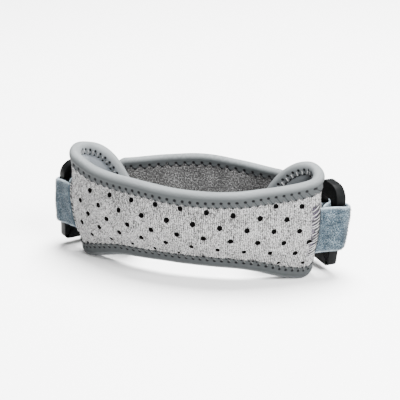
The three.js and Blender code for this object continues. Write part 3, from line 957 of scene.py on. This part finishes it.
def make_tape(name, pad, trim, finish, node):
    """Edge tape: a roll over the edge and a stitched flange on both faces, carried round the outline."""
    count = round(pad.perimeter() / trim.pitch) * STATIONS_PER_STITCH
    edge, inward, along = pad.outline(count)
    phase = np.mod(np.arange(count) / STATIONS_PER_STITCH, 1)[:, None]
    climb = np.clip((edge[:, :1] - CLIMB_FROM) / (CLIMB_TO - CLIMB_FROM), 0, 1)
    climb = np.where(inward[:, 1:] < 0, climb, FOOT_CLIMB)
    hems = trim.inner, climbing_hem(trim.outer, climb * trim.pale_inside)
    raws = [tape_edge(phase, hem) for hem in hems]
    inner, outer = (tape_half(trim, hem, phase, raw) for hem, raw in zip(hems, raws))
    offset, depth, needle, flange = (np.concatenate([a[:, :0:-1], b], 1) for a, b in zip(inner, outer))
    columns = inner[0].shape[1] - 1
    offset[:, :columns] *= -1
    s = edge[:, :1] + inward[:, :1] * depth
    z = edge[:, 1:] + inward[:, 1:] * depth
    points = pad.bend(s, z, offset + uneven(along[:, None], depth, TAPE_WAVES) * np.sign(offset))
    girth = np.cumsum(np.hypot(np.diff(offset, axis=1, prepend=0), np.diff(depth, axis=1, prepend=0)), 1)
    pattern = np.stack([np.broadcast_to(along[:, None], girth.shape), girth], -1)
    # Painted light replaces the painted shade on the front tongues' inner flanges: full on the left
    # tongue, a share on the right
    tongue = (np.arange(offset.shape[1]) < columns) * trim.pale_inside
    pale = tongue * np.where(s < 0, 1, RIGHT_PAINTED_LIGHT_SHARE)
    # A painted shadow along the right tongue's raw edge, added to the needle holes' mark
    raw_shadow = np.clip(1 + (depth - raws[0]) / RAW_SHADOW, 0, 1) * tongue * (s > 0)
    needle = np.maximum(needle, raw_shadow)
    marks = {"needle": needle, "flange": flange * (1 - pale), "inner": flange * pale}
    faces = grid_faces(*s.shape, closed_rows=True, closed_columns=True)
    piece = mesh_piece(name, points, faces, [finish], pattern, marks)
    perimeter, neck_depth = pad.perimeter(), trim.roll * (1 - math.cos(NECK_ANGLE))
    flat_width = 2 * trim.roll * NECK_ANGLE + sum(float(np.mean(raw)) - neck_depth for raw in raws)
    flat_width * MM
    place_piece(piece, "binding", node)


def make_stitching(name, pad, trim, finishes):
    """The thread that shows on the outer and the inner face: a short slanted leg for every stitch."""
    count = round(pad.perimeter() / trim.pitch)
    edge, inward, _ = pad.outline(count * PLACES_PER_STITCH)
    t = np.linspace(0, 1, LEG_STEPS)
    parts = []
    for face, hem in ((1, trim.outer), (-1, trim.inner)):
        (from_phase, from_depth), (to_phase, to_depth) = hem.leg
        where = (np.arange(count)[:, None] + from_phase + (to_phase - from_phase) * t) * PLACES_PER_STITCH
        index = np.round(where).astype(int) % len(edge)
        depth = from_depth + (to_depth - from_depth) * t
        s = edge[index, 0] + inward[index, 0] * depth
        z = edge[index, 1] + inward[index, 1] * depth
        on_roll = trim.roll * np.sin(np.arccos(np.clip(1 - depth / trim.roll, -1, 1)))
        bow = LEG_BOW * np.sin(math.pi * t) ** LEG_BOW_CURVE
        lift = np.maximum(trim.flange, on_roll) - LEG_SINK + bow
        parts.append(threads_on(pad, s, z, lift, hem.thread, face))
    (points, faces), (inner_points, inner_faces) = parts
    both_faces = np.concatenate([faces, inner_faces + len(points)])
    piece = mesh_piece(name, np.concatenate([points, inner_points]), both_faces, finishes)
    share_finishes(piece, np.repeat([0, 1], [len(faces), len(inner_faces)]))
    place_piece(piece, "binding")


# Straps


RING_FRONT = (81.2, 2.0)
RING_REAR = (69.9, 14.1)
REAR_LOOP_RADIUS = 5.8
STRAP_THICK = 1.6
STRAP_ROWS, STRAP_STEP, LOOP_STEPS, RUN_STEPS, EASE_ROUNDS = 26, 0.6, 40, 12, 14
LAYER_STEP = 2.0
FRONT_LOOP = (-78 * DEG, 145 * DEG)
FRONT_SPREAD, FRONT_CLEAR = 1.1, 0.45
REAR_LOOP = (-175 * DEG, 45 * DEG)
REAR_SEWN, REAR_LEAVE, REAR_END, REAR_CLEAR = 36, 62, 30, 0.3
# How far a strap's sewn ends are raised, its loose foot lifted and its loose head dropped
FRONT_SAG = (1.9, 0.6, 0.7)
REAR_SAG = (0, -2.4, 3.4)
EDGE_CURL, EDGE_ROUND, EDGE_THIN = 0.8, 0.9, 0.02
STRAP_WAVES = Waves(0.12, (14, 7), 21)
FACE_SHIFT = 60
# How strong the painted rim light along a strap's edges is, and how far in it reaches
PAINTED_RIM_LIGHT_SHARE, PAINTED_RIM_LIGHT_REACH = 0.7, 0.9
FIBRES_PER_FACE, FIBRE_SIDES, JUST_INSIDE = 4750, 3, 1.001
FIBRE_LENGTHS, LEAN_SPREAD = (0.35, 1.0), 0.55
KNEE_LEAN, TIP_RISE, TIP_LEAN = 0.5, 0.6, 1.3
FOOT_SINK, FOOT_RADIUS, KNEE_RADIUS = 0.1, 0.075, 0.055
FIBRE_SHADE, SHADE_SPREAD, SHADE_LIMIT = 0.16, 0.2, 0.6
# Painted shade at a fibre's root and painted light towards its tip, added to its own tone
PAINTED_LIGHT_UP_FIBRE = (0.1, 0.22, 0.4)
CLUMPS, CLUMP_SQUEEZE = Waves(0.34, (1.9, 1.1), 31), 0.6
SEAM_LOW, SEAM_HIGH = STRAP_LOW + FRONT_SAG[0] - 1, STRAP_HIGH + FRONT_SAG[0] + 1
SEAM_THREADS, SEAM_STEPS, SEAM_THREAD_RADIUS = 34, 6, 0.28
SEAM_SLANT, SEAM_SHORTEST, SEAM_RAGGED = (1.2, 3.2), 0.52, 0.25
SEAM_PAST, SEAM_END_SPREAD = 0.2, 1.2
SEAM_LIFT, SEAM_BOW, SEAM_BOW_CURVE = 0.1, 0.55, 0.7


def bar_place(side, bar, z):
    """Plan centre of a ring's bar at each height: the rings lean a little."""
    lean = math.tan(side.lean) * (z - side.ring_z)
    return np.stack([side.sign * (bar[0] + side.ring_out + lean), np.full_like(z, bar[1])], -1)


def round_bar(side, bar, z, radius, angles):
    """Part of a circle round a ring's bar at each height."""
    angle = np.linspace(*angles, LOOP_STEPS)
    reach = np.stack([side.sign * np.cos(angle), np.sin(angle)], -1) * radius
    return bar_place(side, bar, z)[:, None] + reach[None]


def on_pad(pad, s, z, offset):
    return pad.bend(s, z, offset)[..., :2]


def ring_strap_path(side, z):
    """From the pad's seam round the ring's front bar and back to the seam, at each height."""
    feet = []
    for shift in (-FRONT_SPREAD, FRONT_SPREAD):
        s = np.full_like(z, side.sign * (SEAM_AT + shift))
        feet.append(on_pad(FRONT, s, z, FRONT.outer(s, z) + FRONT_CLEAR + STRAP_THICK / 2))
    centre = (RING_FRONT[0] + side.loop_out, RING_FRONT[1])
    loop = round_bar(side, centre, z, side.loop_radius, FRONT_LOOP)
    return [feet[0][:, None], loop, feet[1][:, None]]


def rear_strap_path(side, z):
    """Along the back band, round the ring's rear bar and back over itself."""
    first = ROLL_RADIUS + REAR_CLEAR + STRAP_THICK / 2
    level = np.full_like(z, STRAP_MIDDLE)[:, None]

    def run(start, end, layer):
        s = side.sign * np.linspace(start, end, RUN_STEPS)[None] + 0 * level
        return on_pad(BACK, s, level, first + layer * LAYER_STEP)

    loop = round_bar(side, RING_REAR, z, REAR_LOOP_RADIUS, REAR_LOOP)
    return [run(REAR_SEWN, REAR_LEAVE, 0), loop, run(REAR_LEAVE, REAR_END, 1)]


def even_path(parts):
    """Joins stretches of path, spaces their points evenly and eases the corners between them."""
    path = np.concatenate(parts, 1)
    length = length_along(path[len(path) // 2])
    at = np.linspace(0, length[-1], round(length[-1] / STRAP_STEP))
    even = np.stack([[np.interp(at, length, row[:, k]) for row in path] for k in (0, 1)], -1)
    for _ in range(EASE_ROUNDS):
        even[:, 1:-1] = (even[:, :-2] + 2 * even[:, 1:-1] + even[:, 2:]) / 4
    return even, at


def make_strap(name, side, path_of, sag, finishes, node):
    """A band of even width and thickness along its path, with soft edges, and its pile."""
    low, high = (corner.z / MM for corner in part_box(node))
    rise = np.linspace(-1, 1, STRAP_ROWS)
    level = (low + high) / 2 + (high - low) / 2 * rise
    path, at = even_path(path_of(side, level))
    up = rise[:, None]
    loose = np.sin(np.linspace(0, math.pi, len(at))) ** 2
    seam_raise, foot_lift, head_drop = sag
    hang = foot_lift * (1 - up) / 2 - head_drop * (1 + up) / 2
    z = level[:, None] + loose * hang + seam_raise * (1 - loose)
    run = unit(np.gradient(path, axis=1))
    across = np.stack([run[..., 1], -run[..., 0]], -1)
    from_edge = (1 - np.abs(rise)) * (high - low) / 2
    rounding = 1 - (1 - np.minimum(1, from_edge / EDGE_ROUND)) ** 2
    half = STRAP_THICK / 2 * np.sqrt(np.maximum(EDGE_THIN, rounding))[:, None, None]
    turning = run[:, :-1, 0] * run[:, 1:, 1] - run[:, :-1, 1] * run[:, 1:, 0]
    curl = np.sign(turning.sum()) * EDGE_CURL * loose * up**4
    ripple = (uneven(at[None], z, STRAP_WAVES) - curl)[..., None]
    near, far = path + across * (half + ripple), path - across * (half - ripple)
    faces_at = [np.concatenate([face, z[..., None]], 2).transpose(1, 0, 2) for face in (near, far)]
    points = np.concatenate([faces_at[0], faces_at[1][:, ::-1]], 1)
    map_up = np.concatenate([z, z[::-1] + FACE_SHIFT]).T
    pattern = np.stack(np.broadcast_arrays(at[:, None], map_up), -1)
    # Painted rim light near the strap's upper and lower edges
    rim = PAINTED_RIM_LIGHT_SHARE * np.exp(-((from_edge / PAINTED_RIM_LIGHT_REACH) ** 2))
    marks = {"rim": np.broadcast_to(np.concatenate([rim, rim]), points.shape[:2])}
    piece = mesh_piece(name, points, capped_faces(*points.shape[:2]), finishes[:1], pattern, marks)
    place_piece(piece, "strap", node)
    make_pile(name + "_pile", faces_at, finishes[1])


def make_pile(name, faces_at, finish):
    """Short bent fibres standing all over both faces of a strap."""
    roots, outs, alongs, ups = [], [], [], []
    for face, other in (faces_at, faces_at[::-1]):
        i = CHANCE.uniform(0, len(face) - JUST_INSIDE, FIBRES_PER_FACE)
        j = CHANCE.uniform(0, len(face[0]) - JUST_INSIDE, FIBRES_PER_FACE)
        a, b = i.astype(int), j.astype(int)
        u, v = (i - a)[:, None], (j - b)[:, None]
        spot = (face[a, b] * (1 - u) + face[a + 1, b] * u) * (1 - v)
        roots.append(spot + (face[a, b + 1] * (1 - u) + face[a + 1, b + 1] * u) * v)
        outs.append(unit(face[a, b] - other[a, b]))
        alongs.append(i)
        ups.append(j)
    root, out = np.concatenate(roots), np.concatenate(outs)
    count = len(root)
    lean = CHANCE.normal(0, LEAN_SPREAD, (count, 3))
    lean -= (lean * out).sum(1)[:, None] * out
    half = CHANCE.uniform(*FIBRE_LENGTHS, count)[:, None] / 2
    knee = root + (out + lean * KNEE_LEAN) * half
    tip = knee + (out * TIP_RISE + lean * TIP_LEAN) * half
    across = unit(np.cross(out, lean))
    star = spokes(across, np.cross(out, across), FIBRE_SIDES)
    foot_ring = (root - out * FOOT_SINK)[:, None] + star * FOOT_RADIUS
    knee_ring = knee[:, None] + star * KNEE_RADIUS
    points = np.concatenate([foot_ring, knee_ring, tip[:, None]], 1)
    wall = [[0, 1, 4], [0, 4, 3], [1, 2, 5], [1, 5, 4], [2, 0, 3], [2, 3, 5]]
    ends = [[3, 4, 6], [4, 5, 6], [5, 3, 6], [0, 2, 1]]
    faces = repeated(np.array(wall + ends), count, points.shape[1])
    clumps = uneven(np.concatenate(alongs) * CLUMP_SQUEEZE, np.concatenate(ups), CLUMPS)
    own = FIBRE_SHADE + clumps + CHANCE.uniform(-SHADE_SPREAD, SHADE_SPREAD, count)
    # Painted shade at the fibre's root, painted light at its tip
    painted_light_up_fibre = np.repeat(PAINTED_LIGHT_UP_FIBRE, (FIBRE_SIDES, FIBRE_SIDES, 1))
    shade = np.clip(own, 0, SHADE_LIMIT)[:, None] + painted_light_up_fibre
    piece = mesh_piece(name, points, faces, [finish], marks={"shade": shade})
    place_piece(piece, "strap")


def make_seam(name, side, finishes):
    """Slanted threads that sew a strap's foot to the facing, a little ragged."""
    each = (SEAM_THREADS, 1)
    t = np.linspace(0, 1, SEAM_STEPS)
    slant = CHANCE.uniform(*SEAM_SLANT, each)
    starts = SEAM_AT - side.seam_reach * CHANCE.uniform(SEAM_SHORTEST, 1, each)
    ends = SEAM_AT + SEAM_PAST - CHANCE.uniform(0, SEAM_END_SPREAD, each)
    s = side.sign * (starts + (ends - starts) * t)
    z = np.linspace(SEAM_LOW, SEAM_HIGH, SEAM_THREADS)[:, None] + slant * (t - 0.5)
    z = z + CHANCE.normal(0, SEAM_RAGGED, each)
    lift = facing_offset(s, z) + SEAM_LIFT + SEAM_BOW * np.sin(math.pi * t) ** SEAM_BOW_CURVE
    points, faces = threads_on(FRONT, s, z, lift, SEAM_THREAD_RADIUS)
    piece = mesh_piece(name, points, faces, finishes)
    tone = np.arange(SEAM_THREADS) % len(finishes)
    share_finishes(piece, np.repeat(tone, len(faces) // SEAM_THREADS))
    place_piece(piece, "facing")


# Rings


RING_WIDTH, RING_HEIGHT, RING_THICK = 22, 49, 6
RING_BAR, RING_TOP_BAR, RING_FOOT_BAR = 5.5, 9.2, 7
# Upper and lower end, the radius of its corners and their segments
RING_CORNERS = ((1, 8.5, 12), (-1, 2.8, 6))
RING_BEVEL, BEVEL_SEGMENTS, BEVEL_FROM = 1.1, 4, 50 * DEG
RING_END_SHARE, FLAT_FACE = 0.4, 0.9
SMOOTH_UNDER = 40 * DEG


def select_in_edit(piece, edges=None, faces=None):
    """Selects the edges or faces of the piece in edit mode for which a test holds."""
    work = bmesh.from_edit_mesh(piece.data)
    for item in [*work.verts, *work.edges, *work.faces]:
        item.select = False
    for item in work.edges if edges else work.faces:
        item.select = bool((edges or faces)(item))
    work.select_flush_mode()
    bmesh.update_edit_mesh(piece.data)


def through_edge(edge, end):
    """An edge that runs through the ring's thickness at its upper or lower end."""
    a, b = (v.co for v in edge.verts)
    return abs(a.y - b.y) > RING_THICK * MM / 2 and a.z * end > RING_HEIGHT * MM * RING_END_SHARE


def make_ring(side, finish):
    """A moulded ring: a block with rounded corners, a window through it and eased edges."""
    bpy.ops.object.select_all(action="DESELECT")
    bpy.ops.mesh.primitive_cube_add(size=1)
    ring = bpy.context.object
    ring.name = f"{side.name}_moulded_ring"
    ring.scale = (RING_WIDTH * MM, RING_THICK * MM, RING_HEIGHT * MM)
    bpy.ops.object.transform_apply(location=False, rotation=False, scale=True)
    bpy.ops.object.mode_set(mode="EDIT")
    bpy.context.tool_settings.mesh_select_mode = (False, True, False)
    for end, radius, segments in RING_CORNERS:
        select_in_edit(ring, edges=lambda edge: through_edge(edge, end))
        bpy.ops.mesh.bevel(offset=radius * MM, segments=segments, affect="EDGES")
    bpy.context.tool_settings.mesh_select_mode = (False, False, True)
    select_in_edit(ring, faces=lambda face: abs(face.normal.y) > FLAT_FACE)
    bpy.ops.mesh.inset(thickness=RING_BAR * MM, use_boundary=True)
    window = (RING_HEIGHT - RING_TOP_BAR - RING_FOOT_BAR) / (RING_HEIGHT - 2 * RING_BAR)
    bpy.ops.transform.resize(value=(1, 1, window), center_override=(0, 0, 0))
    bpy.ops.transform.translate(value=(0, 0, (RING_FOOT_BAR - RING_TOP_BAR) / 2 * MM))
    bpy.ops.mesh.bridge_edge_loops()
    bpy.ops.object.mode_set(mode="OBJECT")
    eased = {"width": RING_BEVEL * MM, "segments": BEVEL_SEGMENTS}
    apply_modifier(ring, "BEVEL", limit_method="ANGLE", angle_limit=BEVEL_FROM, **eased)
    turn = math.atan2(RING_REAR[1] - RING_FRONT[1], RING_FRONT[0] - RING_REAR[0])
    middle_x = side.sign * ((RING_FRONT[0] + RING_REAR[0]) / 2 + side.ring_out)
    middle = Vector((middle_x, (RING_FRONT[1] + RING_REAR[1]) / 2, side.ring_z))
    turned = Matrix.Rotation(-side.sign * turn, 4, "Z")
    leaning = Matrix.Rotation(side.sign * side.lean, 4, "Y")
    ring.matrix_world = Matrix.Translation(middle * MM) @ leaning @ turned
    bpy.ops.object.transform_apply(location=True, rotation=True, scale=True)
    bpy.ops.object.shade_smooth_by_angle(angle=SMOOTH_UNDER)
    ring.data.materials.append(finish)
    place_piece(ring, "ring", f"{side.name}_ring")


# Stage: floor, light and camera


VIEW_AZIMUTH, VIEW_ELEVATION = 15 * DEG, 22 * DEG
VIEW_DISTANCE = 0.78
VIEW_AIM = Vector((1.5, 0, 38)) * MM
LENS, SENSOR = 120, 36
FLOOR_SIZE = 6
SKY_STRENGTH = 0.35
# Each light's name, place, size and power
LIGHTS = (
    ("key", (0.95, -0.6, 1.0), 0.7, 70),
    ("top", (0.05, 0.35, 1.25), 0.9, 150),
    ("fill", (0.3, -1.0, 0.3), 0.6, 7),
)


def make_floor(finish):
    bpy.ops.object.select_all(action="DESELECT")
    bpy.ops.mesh.primitive_plane_add(size=FLOOR_SIZE)
    floor = bpy.context.object
    floor.name = "floor"
    floor.data.materials.append(finish)


def add_light(name, place, size, power):
    lamp = bpy.data.lights.new(name, "AREA")
    lamp.shape = "DISK"
    lamp.size = size
    lamp.energy = power
    light = bpy.data.objects.new(name, lamp)
    light.location = place
    light.rotation_euler = (VIEW_AIM - Vector(place)).to_track_quat("-Z", "Y").to_euler()
    bpy.context.scene.collection.objects.link(light)


def light_scene():
    world = bpy.data.worlds.new("studio")
    bpy.context.scene.world = world
    world.use_nodes = True
    sky = world.node_tree.nodes["Background"]
    sky.inputs["Color"].default_value = (1, 1, 1, 1)
    sky.inputs["Strength"].default_value = SKY_STRENGTH
    for row in LIGHTS:
        add_light(*row)


def add_camera():
    camera = bpy.data.objects.new("camera", bpy.data.cameras.new("camera"))
    camera.data.lens = LENS
    camera.data.sensor_width = SENSOR
    level = math.cos(VIEW_ELEVATION)
    across, away = math.sin(VIEW_AZIMUTH) * level, -math.cos(VIEW_AZIMUTH) * level
    back = Vector((across, away, math.sin(VIEW_ELEVATION)))
    camera.location = VIEW_AIM + back * VIEW_DISTANCE
    camera.rotation_euler = (-back).to_track_quat("-Z", "Y").to_euler()
    bpy.context.scene.collection.objects.link(camera)
    bpy.context.scene.camera = camera


def build():
    add_camera()
    light_scene()
    make_floor(floor_finish())
    tape = tape_finish()
    pale, soft, dark = (thread_finish(*row) for row in THREADS)
    foam = foam_finish()
    make_front_body(lining_finish("smooth_lining", FRONT_LINING, 0.4, 0.85), foam)
    make_back_body(lining_finish("brushed_lining", BACK_LINING, 1.0, 0.0))
    make_facing(knit_finish(), foam)
    make_tape("front_edge_tape", FRONT, FRONT_TRIM, tape, "front_binding")
    make_tape("back_edge_tape", BACK, BACK_TRIM, tape, "back_binding")
    make_stitching("front_stitching", FRONT, FRONT_TRIM, [soft, pale])
    make_stitching("back_stitching", BACK, BACK_TRIM, [dark, dark])
    strap, black = [pile_finish(), fibre_finish()], ring_finish()
    for side in SIDES:
        make_ring(side, black)
        for end, path_of, sag, node, body in (
            ("front", ring_strap_path, FRONT_SAG, "ring_strap", "foam_body"),
            ("back", rear_strap_path, REAR_SAG, "rear_strap", "back_band"),
        ):
            make_strap(f"{side.name}_{end}_strap", side, path_of, sag, strap, f"{side.name}_{node}")
        make_seam(f"{side.name}_seam", side, [pale, dark])


build()
